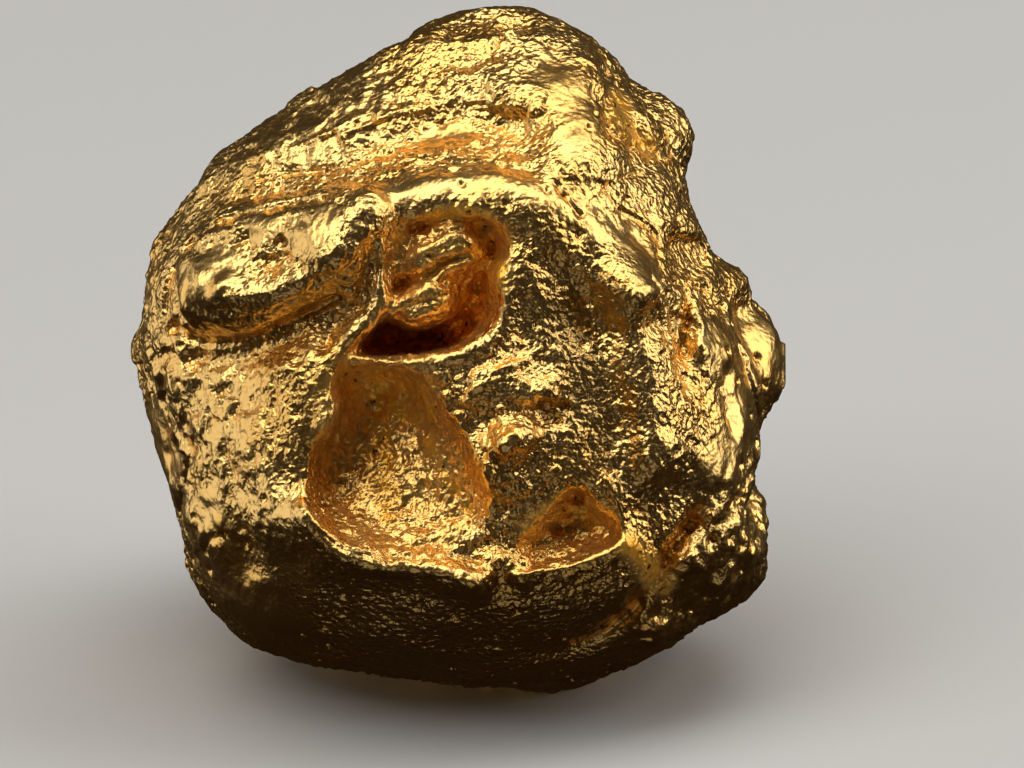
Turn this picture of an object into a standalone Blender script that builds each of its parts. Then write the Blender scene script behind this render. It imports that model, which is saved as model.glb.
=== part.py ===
"""Gold nugget: one solid, water-worn lump of native gold, as found.

The nugget is worked in millimetres in a frame of its broad face: X to the right, Z up the face and
-Y out of it. It is then leaned back to the way it rests, cut flat where it has worn flat underneath,
and scaled to metres.

A side of the nugget is named by the azimuth and elevation that it is seen from, in degrees.
Azimuth 0 looks square on to the broad face and 90 looks at its right side. Places on a side are
(right, up) in millimetres, measured from the middle of the face as that side is seen.
"""

import math

import bmesh
import bpy
import numpy as np
from mathutils import Matrix, Vector, noise
from mathutils.bvhtree import BVHTree

MM = 0.001

# Driving dimensions, in millimetres and degrees.
FACE_LEAN_DEG = 22.0  # the broad face leans back this far when the nugget rests
FRONT_BULGE = 4.9  # the face stands this far in front of the plane of the outline
BACK_BULGE = 4.9
FRONT_SQUARENESS = 2.35  # superellipse exponents: 2 is an ellipse, and more is flatter
BACK_SQUARENESS = 2.2
BASE_CUT = 0.45  # depth of the flat worn underneath
FOREHEAD_START = 3.9  # the face turns back above this height
FOREHEAD_SLOPE = 0.95  # millimetres back for each millimetre up
FOREHEAD_BLEND = 0.9  # how softly it turns

# Outline of the body seen square on to the face: its radius every OUTLINE_STEP_DEG degrees,
# anticlockwise from the right.
OUTLINE_STEP_DEG = 15
OUTLINE = (
    5.70, 5.45, 5.55, 6.02, 6.80, 7.70, 7.80, 7.25, 6.95, 7.05, 7.05, 6.95,
    6.55, 6.45, 6.60, 6.65, 6.10, 5.72, 5.64, 5.86, 6.15, 6.45, 6.65, 6.05,
)  # fmt: skip

# Gentle relief all over, as (size of a lump, height, seed): the broad lumps, then the small ones.
BROAD_RELIEF = (1.60, 0.16, 1)
SMALL_RELIEF = (0.75, 0.07, 2)

# How finely the nugget is worked.
BODY_SUBDIVISIONS = 6
LUMP_SUBDIVISIONS = 4
FUSE_VOXEL = 0.12
FUSE_SMOOTH_STEPS = 5
FINAL_VOXEL = 0.11
FINAL_SMOOTH_STEPS = 2
TRIANGLES = 9400
SHARP_EDGE_DEG = 60
PATH_STEP = 0.15
RIM_STEP = 0.05
DEPTH_SHARE = 0.3  # how much of a point's depth behind a stroke counts as distance from it
VIEW_DISTANCE = 30.0  # from where a stroke's path is dropped on to the surface

# The sides.
FACE, CROWN, TOP = (0, 0), (0, 40), (0, 80)
RIGHT, BACK, LEFT = (90, 0), (180, 0), (-90, 0)
UNDER = (180, -68)

GOLD_COLOUR = (0.83, 0.56, 0.17, 1.0)
GOLD_ROUGHNESS = 0.28


def side_axes(side):
    """Right, up and towards-the-viewer vectors of a side seen from (azimuth, elevation)."""
    azimuth, elevation = (math.radians(angle) for angle in side)
    right = np.array((math.cos(azimuth), math.sin(azimuth), 0.0))
    level = np.array((math.sin(azimuth), -math.cos(azimuth), 0.0))
    toward = level * math.cos(elevation) + np.array((0.0, 0.0, math.sin(elevation)))
    return right, np.cross(toward, right), toward


def smooth_curve(points, step, closed=False):
    """Points every step or so along a Catmull-Rom curve through the given ones."""
    points = [np.array(point, float) for point in points]
    if len(points) == 1:
        return np.array(points)
    count = len(points)
    found = []
    for i in range(count if closed else count - 1):
        if closed:
            before, start, end, after = (points[(i + k) % count] for k in (-1, 0, 1, 2))
        else:
            before, start, end, after = (points[min(max(i + k, 0), count - 1)] for k in (-1, 0, 1, 2))
        steps = max(1, math.ceil(np.linalg.norm(end - start) / step))
        for t in np.arange(steps) / steps:
            found.append(
                0.5
                * (
                    2 * start
                    + (end - before) * t
                    + (2 * before - 5 * start + 4 * end - after) * t**2
                    + (3 * start - before - 3 * end + after) * t**3
                )
            )
    if not closed:
        found.append(points[-1])
    return np.array(found)


def outline_radius(angle):
    """Radius of the outline at an angle in radians, on a smooth closed curve through OUTLINE."""
    place = math.degrees(angle) / OUTLINE_STEP_DEG
    first = math.floor(place)
    t = place - first
    before, start, end, after = (OUTLINE[(first + k) % len(OUTLINE)] for k in (-1, 0, 1, 2))
    square = 2 * before - 5 * start + 4 * end - after
    cube = 3 * (start - end) + after - before
    return start + 0.5 * t * (end - before + t * (square + t * cube))


def body_point(direction):
    """Where the body's surface lies in a direction of the unit sphere."""
    across = math.hypot(direction.x, direction.z)
    angle = math.atan2(direction.z, direction.x)
    front = direction.y < 0
    power = 2 / (FRONT_SQUARENESS if front else BACK_SQUARENESS)
    reach = outline_radius(angle) * across**power
    depth = abs(direction.y) ** power
    x, z = reach * math.cos(angle), reach * math.sin(angle)
    if not front:
        return Vector((x, BACK_BULGE * depth, z))
    face = FRONT_BULGE * depth
    forehead = FRONT_BULGE - FOREHEAD_SLOPE * (z - FOREHEAD_START)
    mix = max(0.0, min(1.0, 0.5 + 0.5 * (forehead - face) / FOREHEAD_BLEND))
    face = forehead + (face - forehead) * mix - FOREHEAD_BLEND * mix * (1 - mix) / 2
    return Vector((x, -face, z))


def make_body():
    bm = bmesh.new()
    bmesh.ops.create_icosphere(bm, subdivisions=BODY_SUBDIVISIONS, radius=1.0)
    for vertex in bm.verts:
        vertex.co = body_point(vertex.co.normalized())
    mesh = bpy.data.meshes.new("nugget")
    bm.to_mesh(mesh)
    bm.free()
    obj = bpy.data.objects.new("nugget", mesh)
    bpy.context.scene.collection.objects.link(obj)
    return obj


def add_lump(bm, centre, radii, turn_deg=0.0):
    """An ellipsoid at (x, y, z), turned anticlockwise as the face is seen."""
    turn = Matrix.Rotation(math.radians(-turn_deg), 4, "Y")
    place = Matrix.Translation(centre) @ turn @ Matrix.Diagonal((*radii, 1.0))
    bmesh.ops.create_icosphere(bm, subdivisions=LUMP_SUBDIVISIONS, radius=1.0, matrix=place)


def add_rod(bm, points):
    """A round tapering rod through (x, y, z, radius) points, as a chain of balls."""
    for x, y, z, radius in smooth_curve(points, PATH_STEP):
        add_lump(bm, (x, y, z), (radius, radius, radius))


def fuse(obj, lumps, voxel, smooth_steps):
    """Joins the lumps with the object as one skin and softens where they meet."""
    lumps.from_mesh(obj.data)
    lumps.to_mesh(obj.data)
    lumps.free()
    remesh = obj.modifiers.new("fuse", "REMESH")
    remesh.mode = "VOXEL"
    remesh.voxel_size = voxel
    smooth = obj.modifiers.new("soften", "SMOOTH")
    smooth.factor = 0.5
    smooth.iterations = smooth_steps
    apply_modifiers(obj)


def keep_largest(obj):
    """Deletes what the remesh leaves closed off from the nugget's own skin."""
    bm = bmesh.new()
    bm.from_mesh(obj.data)
    waiting = set(bm.verts)
    pieces = []
    while waiting:
        piece = []
        front = [waiting.pop()]
        while front:
            vertex = front.pop()
            piece.append(vertex)
            for edge in vertex.link_edges:
                other = edge.other_vert(vertex)
                if other in waiting:
                    waiting.remove(other)
                    front.append(other)
        pieces.append(piece)
    pieces.sort(key=len)
    for piece in pieces[:-1]:
        bmesh.ops.delete(bm, geom=piece, context="VERTS")
    bm.to_mesh(obj.data)
    bm.free()


def apply_modifiers(obj):
    graph = bpy.context.evaluated_depsgraph_get()
    evaluated = obj.evaluated_get(graph)
    mesh = bpy.data.meshes.new_from_object(evaluated)
    obj.modifiers.clear()
    old = obj.data
    obj.data = mesh
    bpy.data.meshes.remove(old)


def points_of(obj):
    points = np.empty(len(obj.data.vertices) * 3, np.float32)
    obj.data.vertices.foreach_get("co", points)
    return points.reshape(-1, 3).astype(float)


def set_points(obj, points):
    obj.data.vertices.foreach_set("co", points.astype(np.float32).ravel())
    obj.data.update()


def surface_tree(obj):
    graph = bpy.context.evaluated_depsgraph_get()
    return BVHTree.FromObject(obj, graph)


def on_surface(tree, side, path):
    """The points of a (right, up) path dropped on to the surface from its side."""
    right, up, toward = side_axes(side)
    found = []
    for across, along in path:
        start = right * across + up * along + toward * VIEW_DISTANCE
        found.append(np.array(tree.ray_cast(Vector(start), Vector(-toward))[0]))
    return np.array(found)


def stroke(points, tree, side, path, radius, height, hardness):
    """Raises, or lowers, a round-edged band along a path on one side.

    hardness is the share of the radius that moves fully.
    """
    right, up, toward = side_axes(side)
    samples = on_surface(tree, side, smooth_curve(path, min(PATH_STEP, radius / 3)))
    nearest = np.full(len(points), np.inf)
    for sample in samples:
        away = points - sample
        nearest = np.minimum(
            nearest, (away @ right) ** 2 + (away @ up) ** 2 + (DEPTH_SHARE * (away @ toward)) ** 2
        )
    rim = np.clip((np.sqrt(nearest) / radius - hardness) / (1 - hardness), 0, 1)
    points += ((1 - rim**2) ** 2)[:, None] * toward * height


def inside(places, outline):
    """Which (right, up) places lie inside a closed outline."""
    found = np.zeros(len(places), bool)
    for start, end in zip(outline, np.roll(outline, -1, axis=0)):
        crosses = (start[1] > places[:, 1]) != (end[1] > places[:, 1])
        with np.errstate(divide="ignore", invalid="ignore"):
            at = start[0] + (places[:, 1] - start[1]) * (end - start)[0] / (end - start)[1]
        found ^= crosses & (places[:, 0] < at)
    return found


def rim_distance(places, outline):
    """A distance from the rim that is true beside it and rounds off smoothly towards the middle.

    It is the distance of the straight rim that would give the same sum of length / distance^4.
    """
    total = np.zeros(len(places))
    for start, end in zip(outline, np.roll(outline, -1, axis=0)):
        away = places - (start + end) / 2
        total += np.linalg.norm(end - start) / (away**2).sum(axis=1) ** 2
    return np.cbrt(math.pi / 2 / total)


def hollow(points, side, outline, depth, wall, tilt=(0, 0), drift=(0, 0)):
    """Sinks the surface inside a closed (right, up) outline, with a crisp rim and a round bottom.

    wall is the width over which the side walls fall. tilt makes the floor deeper to the right and up.
    drift slides the floor (right, up), which undercuts a wall.
    """
    right, up, toward = side_axes(side)
    places = np.stack((points @ right, points @ up), axis=1)
    curve = smooth_curve(outline, RIM_STEP, closed=True)
    chosen = np.flatnonzero((points @ toward > 0) & inside(places, curve))
    places = places[chosen]
    rise = 1 - np.clip(rim_distance(places, curve) / wall, 0, 1)
    share = np.sqrt(1 - rise**2)
    sink = depth + (places - curve.mean(axis=0)) @ np.array(tilt, float)
    points[chosen] += share[:, None] * (-toward * sink[:, None] + right * drift[0] + up * drift[1])


def add_relief(obj, size, height, seed):
    """Low rounded relief of a given size over all of the surface, the same on every run."""
    points, normals = points_of(obj), normals_of(obj)
    shift = seed * Vector((7.31, 3.77, 5.13))
    for i, point in enumerate(points):
        points[i] += normals[i] * height * noise.noise(Vector(point) / size + shift)
    set_points(obj, points)


def normals_of(obj):
    normals = np.empty(len(obj.data.vertices) * 3, np.float32)
    obj.data.vertex_normals.foreach_get("vector", normals)
    return normals.reshape(-1, 3).astype(float)


# Lumps that stand behind the outline or off the face, as ellipsoids: centre, radii and turn.
REAR_CROWN = (
    ((2.85, 0.8, 4.60), (1.22, 1.5, 1.80), -35.0),
    ((2.20, 2.2, 4.70), (1.30, 1.5, 1.50), -20.0),
)
EAR = (
    ((5.20, 0.5, 0.75), (1.00, 1.2, 1.25), 16.0),
    ((4.90, 1.7, 1.10), (0.95, 1.2, 0.95), 0.0),
    ((4.70, 0.4, 2.10), (0.80, 1.3, 0.70), 30.0),
)
# The thumb lies across the left of the face: a rod along its lower edge, and a fatter one behind and
# over it that makes its sloping top. x, y, z and radius along them.
THUMB = (
    (-5.15, -3.60, 2.05, 0.80),
    (-4.50, -3.95, 2.00, 0.79),
    (-3.60, -4.30, 2.15, 0.74),
    (-2.70, -4.55, 2.70, 0.60),
)
THUMB_TOP = (
    (-5.00, -3.10, 2.60, 1.02),
    (-4.20, -3.35, 2.85, 1.10),
    (-3.30, -3.70, 3.10, 1.05),
    (-2.30, -4.10, 3.40, 0.85),
)
# The pebble in the pocket: its upper lobe in two parts, its lower one, and what they grow from.
PEBBLE = (
    ((-0.96, -3.90, 2.78), (0.64, 1.00, 0.60), 22.0),
    ((-0.42, -3.90, 3.02), (0.66, 1.04, 0.66), 22.0),
    ((-0.98, -3.85, 1.94), (0.78, 1.06, 0.52), 22.0),
    ((-0.70, -2.90, 2.40), (0.80, 1.50, 0.85), 0.0),
)

# Broad forms of the face: side, path, radius, height and hardness.
BROAD_STROKES = (
    # the brow, a rounded band over the face that runs on down its right side as the cheek's edge
    (FACE, ((-2.9, 3.2), (-1.6, 3.9), (-0.1, 4.1), (1.2, 3.8), (2.3, 3.1), (3.1, 2.2)), 0.95, 0.50, 0.15),
    # the trough of the forehead behind the brow
    (FACE, ((-5.2, 4.0), (-3.5, 4.45), (-1.9, 4.9), (-0.5, 5.35), (0.6, 5.45)), 0.85, -0.34, 0.0),
    # the bulging front of the crown
    (FACE, ((0.9, 6.3), (1.8, 5.9), (2.1, 4.9)), 1.10, 0.35, 0.10),
    # the hollow between the crown and the lump behind it
    (FACE, ((2.75, 6.4), (2.95, 5.6), (3.5, 4.9)), 0.50, -0.75, 0.10),
    # the edge of the cheek, on from the end of the brow
    (FACE, ((3.1, 2.2), (3.4, 1.2), (3.6, 0.2), (3.8, -0.9)), 1.00, 0.55, 0.10),
    # the cheek falls away to the right of it
    (FACE, ((4.9, 1.0), (5.1, 0.0), (4.9, -1.4)), 0.90, 0.30, 0.20),
    # the front crest down the left of the face
    (FACE, ((-3.6, 0.8), (-3.8, -1.0), (-3.7, -2.3)), 1.00, 0.32, 0.35),
    # and along the chin
    (FACE, ((-3.6, -2.3), (-2.3, -3.4), (-0.4, -3.9), (1.6, -3.9), (3.0, -3.3)), 0.95, 0.30, 0.10),
    # the flat of the face, between the brow, the cheek and the hill
    (FACE, ((0.9, 2.6), (1.7, 2.3)), 1.15, 0.26, 0.10),
    (FACE, ((1.9, 2.5), (2.5, 0.8), (2.5, -1.0)), 0.90, -0.16, 0.10),
    # the hill between the bowl and the small pit
    (FACE, ((0.7, 0.3), (0.5, -1.4)), 0.80, 0.28, 0.10),
    # the flank falls back under the thumb
    (FACE, ((-5.5, 0.85), (-4.6, 0.85), (-3.7, 1.25)), 0.50, -0.55, 0.10),
    (FACE, ((-5.2, 0.0), (-4.4, 0.2)), 1.00, -0.25, 0.0),
)

# The hollows of the face: side, outline, depth, wall width, floor tilt and floor drift.
POCKET = (
    FACE,
    ((-1.62, 2.42), (-1.42, 3.12), (-1.20, 3.54), (-0.50, 3.64), (0.20, 3.58), (0.54, 3.20), (0.60, 2.90),
     (0.34, 2.42), (0.44, 2.02), (0.30, 1.56), (0.00, 1.22), (-0.30, 1.02), (-1.10, 0.86), (-1.80, 0.82),
     (-2.42, 0.86), (-2.00, 1.42), (-1.66, 1.84)),
    1.70, 0.50, (0, 0), (0, 0),
)  # fmt: skip
GAP = (
    FACE,
    ((-2.36, 0.92), (-1.88, 1.48), (-1.50, 1.54), (-0.80, 1.40), (-0.20, 1.30), (-0.60, 1.04),
     (-1.50, 0.92)),
    1.50, 0.30, (0, 0), (0, 0.10),
)  # fmt: skip
BOWL = (
    FACE,
    ((-2.40, 0.70), (-2.72, 0.36), (-2.70, -0.10), (-2.86, -0.48), (-3.12, -0.94), (-3.24, -1.38),
     (-3.22, -2.00), (-3.02, -2.32), (-2.08, -2.66), (-1.50, -2.76), (-0.80, -2.72), (-0.14, -2.60),
     (0.18, -2.38), (0.22, -1.90), (0.04, -1.38), (-0.22, -0.88), (-0.54, -0.28), (-0.86, 0.16),
     (-1.18, 0.52), (-1.56, 0.68)),
    1.30, 1.30, (-0.12, 0.40), (0, 0.10),
)  # fmt: skip
SMALL_PIT = (
    FACE,
    ((0.90, -3.30), (0.90, -2.90), (1.18, -2.54), (1.56, -2.16), (1.80, -1.86), (2.02, -1.78), (2.26, -1.92),
     (2.40, -2.18), (2.76, -2.38), (2.92, -2.78), (2.26, -3.06)),
    0.62, 0.60, (0, 0.70), (0, 0.06),
)  # fmt: skip
EYE = (
    FACE,
    ((3.76, 2.50), (3.74, 3.10), (4.00, 3.34), (4.50, 3.28), (4.66, 2.86), (4.52, 2.44), (4.12, 2.36)),
    0.45, 0.22, (-0.15, 0.15), (0, 0),
)  # fmt: skip

# Smaller forms of the face.
FINE_STROKES = (
    # the beaded lip under the bowl
    (FACE, ((-3.40, -2.30), (-2.66, -3.06), (-1.5, -3.32), (-0.5, -3.40), (0.0, -3.66)), 0.50, 0.48, 0.10),
    (FACE, ((0.0, -3.62), (0.3, -3.36), (0.5, -3.1), (0.94, -3.56)), 0.28, 0.28, 0.0),
    # the sharp lip round the small pit
    (FACE, ((0.94, -3.50), (1.6, -3.42), (2.3, -3.2), (3.0, -2.86)), 0.28, 0.20, 0.0),
    (FACE, ((3.0, -2.86), (2.9, -2.3), (2.66, -1.65)), 0.24, 0.14, 0.0),
    # the ledge between the pocket and the bowl
    (FACE, ((-2.4, 0.76), (-1.1, 0.76), (-0.6, 0.9), (0.1, 1.05), (0.6, 1.6), (0.62, 2.1)), 0.26, 0.20, 0.0),
    # the fold that runs down from the pocket to the bowl on the left
    (FACE, ((-1.8, 3.1), (-1.86, 2.4), (-1.95, 1.8), (-2.4, 1.35)), 0.26, 0.22, 0.0),
    (FACE, ((-2.4, 1.35), (-2.8, 0.9), (-3.0, 0.3)), 0.26, 0.22, 0.0),
    # the knob on the left edge of the bowl
    (FACE, ((-2.86, -0.1), (-2.96, -0.55)), 0.30, 0.34, 0.0),
    # knobs on the hill
    (FACE, ((1.2, 0.15), (1.5, 0.25)), 0.38, 0.36, 0.0),
    (FACE, ((0.55, -0.95), (0.95, -0.7)), 0.46, 0.42, 0.0),
    (FACE, ((0.3, -1.6),), 0.36, 0.24, 0.0),
    (FACE, ((-0.16, 0.0), (0.1, 0.35)), 0.30, 0.24, 0.0),
    # the valley between the hill's knobs
    (FACE, ((0.3, -0.35), (0.9, -0.25), (1.6, -0.4)), 0.26, -0.26, 0.0),
    # the folds below the eye-shaped dimple
    (FACE, ((3.7, 2.3), (4.2, 2.2), (4.75, 1.95)), 0.20, -0.26, 0.0),
    (FACE, ((3.3, 2.0), (3.8, 2.15), (4.2, 1.95)), 0.26, 0.22, 0.0),
    (FACE, ((4.2, 1.9), (4.05, 1.4), (4.15, 0.9)), 0.24, -0.30, 0.0),
    (FACE, ((3.5, 1.75), (3.65, 1.35)), 0.32, -0.22, 0.0),
    (FACE, ((4.5, 1.7), (4.55, 1.0)), 0.30, 0.24, 0.0),
    # the groove of the jaw and the pits below it
    (FACE, ((1.2, -5.0), (2.2, -4.8), (3.1, -4.2), (3.75, -3.3), (4.3, -2.4)), 0.34, -0.34, 0.0),
    (FACE, ((4.3, -3.2),), 0.50, 0.26, 0.0),
    (FACE, ((3.5, -4.65), (3.9, -4.5)), 0.42, 0.30, 0.0),
    (FACE, ((5.0, -3.7),), 0.45, 0.28, 0.0),
    (FACE, ((4.75, -2.7),), 0.26, -0.28, 0.0),
    (FACE, ((3.95, -3.9),), 0.28, -0.30, 0.0),
    (FACE, ((4.6, -4.1),), 0.24, -0.24, 0.0),
    # the oval dish on top of the crown, its lip and the groove below it
    (CROWN, ((-0.4, 4.78), (0.2, 4.90), (0.8, 4.82)), 0.55, -0.22, 0.10),
    (CROWN, ((-1.2, 4.30), (-0.5, 4.12), (0.3, 4.20), (0.9, 4.50)), 0.26, 0.12, 0.0),
    (CROWN, ((-1.5, 3.98), (-0.7, 3.78), (0.2, 3.84), (0.9, 4.08)), 0.28, -0.14, 0.0),
    # the crease above the thumb
    (FACE, ((-6.0, 2.7), (-5.7, 3.3), (-5.0, 3.8), (-4.0, 4.1)), 0.28, -0.26, 0.0),
)

# The far sides: the back, the two flanks, the top and the underside.
FAR_STROKES = (
    (UNDER, ((-1.2, -0.4), (1.6, 0.6)), 2.0, 0.24, 0.20),
    (BACK, ((-4.2, -1.2), (-1.0, 0.2), (2.2, 1.4), (4.6, 3.6)), 1.4, 0.85, 0.15),
    (BACK, ((-2.6, 3.4), (-0.8, 4.6)), 1.9, -0.90, 0.0),
    (BACK, ((1.6, -2.6), (3.2, -1.6)), 1.7, -0.85, 0.0),
    (BACK, ((0.6, 4.4), (1.6, 3.0), (1.4, 1.6)), 0.45, -0.45, 0.0),
    (BACK, ((3.9, -3.2), (3.2, -4.4)), 1.1, 0.45, 0.0),
    (BACK, ((-4.9, 1.0), (-4.4, 1.9)), 0.60, 0.40, 0.0),
    (BACK, ((-3.4, 1.0), (-2.0, 1.5)), 0.60, 0.50, 0.20),
    (BACK, ((0.2, -1.2), (1.4, -0.6)), 0.55, 0.40, 0.0),
    (RIGHT, ((-1.5, -2.2), (0.5, -1.2), (2.5, -1.8)), 0.9, -0.45, 0.0),
    (RIGHT, ((1.8, 2.6), (2.6, 1.0)), 0.8, 0.40, 0.0),
    (RIGHT, ((0.4, -3.6), (1.6, -3.2)), 0.7, 0.22, 0.0),
    (LEFT, ((-2.6, -2.8), (-2.0, -1.2), (-1.6, 0.8)), 1.1, 0.30, 0.0),
    (LEFT, ((1.6, -1.2), (0.6, 0.4)), 1.3, -0.25, 0.0),
    (LEFT, ((-0.4, 2.2), (0.9, 1.4), (1.6, 0.2)), 0.40, -0.35, 0.0),
    (LEFT, ((0.6, 3.2),), 0.75, 0.20, 0.0),
    (TOP, ((-2.2, 1.6), (-0.6, 2.6)), 1.3, -0.45, 0.0),
    (TOP, ((1.2, 3.2), (2.6, 2.6)), 0.9, 0.35, 0.0),
)
FAR_HOLLOWS = (
    (BACK, ((-2.4, -3.0), (-2.2, -2.0), (-1.2, -1.5), (-0.4, -2.1), (-0.6, -3.1), (-1.6, -3.5)),
     0.80, 0.50, (0.1, 0.2), (0, 0)),
    (BACK, ((2.6, 1.9), (2.9, 2.7), (3.6, 2.6), (3.7, 1.9), (3.2, 1.5)), 0.50, 0.30, (0, 0), (0, 0)),
    (RIGHT, ((0.8, -0.6), (1.0, 0.3), (1.9, 0.5), (2.3, -0.2), (1.7, -0.9)), 0.45, 0.35, (0, 0), (0, 0)),
    (LEFT, ((-3.8, 1.2), (-3.6, 2.2), (-2.7, 2.3), (-2.5, 1.4), (-3.1, 0.9)), 0.55, 0.35, (0, 0.1), (0, 0)),
    (LEFT, ((-0.3, -3.0), (-0.1, -2.1), (0.8, -1.9), (1.1, -2.7)), 0.40, 0.30, (0, 0), (0, 0)),
    (TOP, ((-3.9, 0.6), (-3.4, 1.4), (-2.6, 1.2), (-2.8, 0.4)), 0.35, 0.25, (0, 0), (0, 0)),
)  # fmt: skip


def apply_strokes(obj, strokes):
    points, tree = points_of(obj), surface_tree(obj)
    for side, path, radius, height, hardness in strokes:
        stroke(points, tree, side, path, radius, height, hardness)
    set_points(obj, points)


def apply_hollows(obj, hollows):
    points = points_of(obj)
    for side, outline, depth, wall, tilt, drift in hollows:
        hollow(points, side, outline, depth, wall, tilt, drift)
    set_points(obj, points)


def thin_out(obj):
    """Leaves the triangles where the surface bends most."""
    obj.data.calc_loop_triangles()
    thin = obj.modifiers.new("thin out", "DECIMATE")
    thin.ratio = TRIANGLES / len(obj.data.loop_triangles)
    apply_modifiers(obj)


def lean_and_cut(obj):
    """Leans the nugget back to the way it rests, cuts the worn flat and puts its middle over the origin."""
    mesh = obj.data
    mesh.transform(Matrix.Rotation(math.radians(-FACE_LEAN_DEG), 4, "X"))
    lowest = min(vertex.co.z for vertex in mesh.vertices)
    bm = bmesh.new()
    bm.from_mesh(mesh)
    everything = bm.verts[:] + bm.edges[:] + bm.faces[:]
    cut = bmesh.ops.bisect_plane(
        bm, geom=everything, plane_co=(0, 0, lowest + BASE_CUT), plane_no=(0, 0, 1), clear_inner=True
    )
    rim = [item for item in cut["geom_cut"] if isinstance(item, bmesh.types.BMEdge)]
    bmesh.ops.contextual_create(bm, geom=rim)
    bmesh.ops.triangulate(bm, faces=bm.faces[:])
    bmesh.ops.recalc_face_normals(bm, faces=bm.faces[:])
    bm.to_mesh(mesh)
    bm.free()
    points = points_of(obj)
    low, high = points.min(axis=0), points.max(axis=0)
    points -= np.array(((low[0] + high[0]) / 2, (low[1] + high[1]) / 2, low[2]))
    set_points(obj, points * MM)


def gold():
    material = bpy.data.materials.new("native_gold")
    material.use_nodes = True
    surface = material.node_tree.nodes["Principled BSDF"]
    surface.inputs["Base Color"].default_value = GOLD_COLOUR
    surface.inputs["Metallic"].default_value = 1.0
    surface.inputs["Roughness"].default_value = GOLD_ROUGHNESS
    return material


def main():
    for obj in list(bpy.data.objects):
        bpy.data.objects.remove(obj)
    nugget = make_body()
    lumps = bmesh.new()
    for lump in REAR_CROWN + EAR:
        add_lump(lumps, *lump)
    add_rod(lumps, THUMB)
    add_rod(lumps, THUMB_TOP)
    fuse(nugget, lumps, FUSE_VOXEL, FUSE_SMOOTH_STEPS)

    apply_strokes(nugget, BROAD_STROKES + FAR_STROKES)
    add_relief(nugget, *BROAD_RELIEF)
    apply_strokes(nugget, FINE_STROKES)
    apply_hollows(nugget, (POCKET, GAP, BOWL, SMALL_PIT, EYE, *FAR_HOLLOWS))

    pebble = bmesh.new()
    for lobe in PEBBLE:
        add_lump(pebble, *lobe)
    fuse(nugget, pebble, FINAL_VOXEL, FINAL_SMOOTH_STEPS)
    keep_largest(nugget)

    add_relief(nugget, *SMALL_RELIEF)

    thin_out(nugget)
    lean_and_cut(nugget)
    nugget.data.materials.append(gold())
    nugget.data.shade_smooth()
    nugget.data.set_sharp_from_angle(angle=math.radians(SHARP_EDGE_DEG))


main()
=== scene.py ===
"""Finish of the gold nugget: its fine relief, its native gold, and the table and soft light it is seen in.

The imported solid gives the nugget's place and its main forms. A skin of the same metal is laid over it,
worked in millimetres in the frame of the nugget's broad face: X to the right, Z up the face and -Y out
of it. A side of the nugget is named by the azimuth and elevation that it is seen from, in degrees, and
places on a side are (right, up) in millimetres from the middle of the face.
"""

import itertools
import math

import bmesh
import bpy
import numpy as np
from mathutils import Matrix, Vector
from mathutils.bvhtree import BVHTree
from mathutils.kdtree import KDTree


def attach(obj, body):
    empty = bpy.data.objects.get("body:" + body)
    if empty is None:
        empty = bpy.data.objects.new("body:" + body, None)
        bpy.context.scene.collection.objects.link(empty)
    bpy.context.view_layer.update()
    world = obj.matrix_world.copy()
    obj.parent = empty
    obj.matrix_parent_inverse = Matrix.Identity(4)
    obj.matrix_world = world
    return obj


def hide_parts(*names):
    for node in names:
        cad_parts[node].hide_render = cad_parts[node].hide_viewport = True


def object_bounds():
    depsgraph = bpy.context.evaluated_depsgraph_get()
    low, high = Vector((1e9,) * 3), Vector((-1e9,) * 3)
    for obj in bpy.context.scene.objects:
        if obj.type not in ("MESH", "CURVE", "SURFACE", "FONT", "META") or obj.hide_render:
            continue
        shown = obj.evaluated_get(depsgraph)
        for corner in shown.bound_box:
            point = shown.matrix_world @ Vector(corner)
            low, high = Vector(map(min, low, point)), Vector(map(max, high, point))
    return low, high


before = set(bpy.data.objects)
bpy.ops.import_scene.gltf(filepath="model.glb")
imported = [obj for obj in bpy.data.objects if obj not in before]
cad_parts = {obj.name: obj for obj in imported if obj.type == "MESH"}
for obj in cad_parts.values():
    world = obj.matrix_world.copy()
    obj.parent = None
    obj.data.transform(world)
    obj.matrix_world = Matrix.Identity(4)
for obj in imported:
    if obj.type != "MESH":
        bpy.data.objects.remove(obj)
cad_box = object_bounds()

MM = 0.001

# The broad face: where its middle lies in the part, in millimetres, and how far it leans back.
FACE_MIDDLE = (0.344, 0.097, 5.567)
FACE_LEAN_DEG = 22.0

# The sides.
FACE, CROWN, TOP = (0, 0), (0, 40), (0, 80)
RIGHT, BACK, LEFT = (90, 0), (180, 0), (-90, 0)

# How finely the skin is worked. Lengths are in millimetres.
SKIN_SUBDIVISIONS = 2
SKIN_VOXEL = 0.047
SKIN_TRIANGLES = 198000
SKIN_SOFTENING = 5  # steps of smoothing that take the voxels' corners off
SMOOTHING_FACTOR = 0.5  # how far one step of smoothing moves a point towards its neighbours' middle
FRONT_THINNING = 0.25  # how much of the thinning out the front of the nugget takes
WELD_DISTANCE = 0.0005
BOX_CLEARANCE = 0.004  # the skin stays this far inside the solid's box
PATH_STEP = 0.06  # between places along a stroke
RIM_STEP = 0.04  # between places along a hollow's rim
DEPTH_SHARE = 0.35  # how much of a point's depth behind a stroke counts as distance from it
FACING_LIMIT = -0.2  # cosine of the angle that a band reaches round to from its side
FRONT_LIMIT = -0.25  # the same for the front of the nugget
VIEW_DISTANCE = 30.0  # how far off a path is dropped on to the skin from

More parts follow.
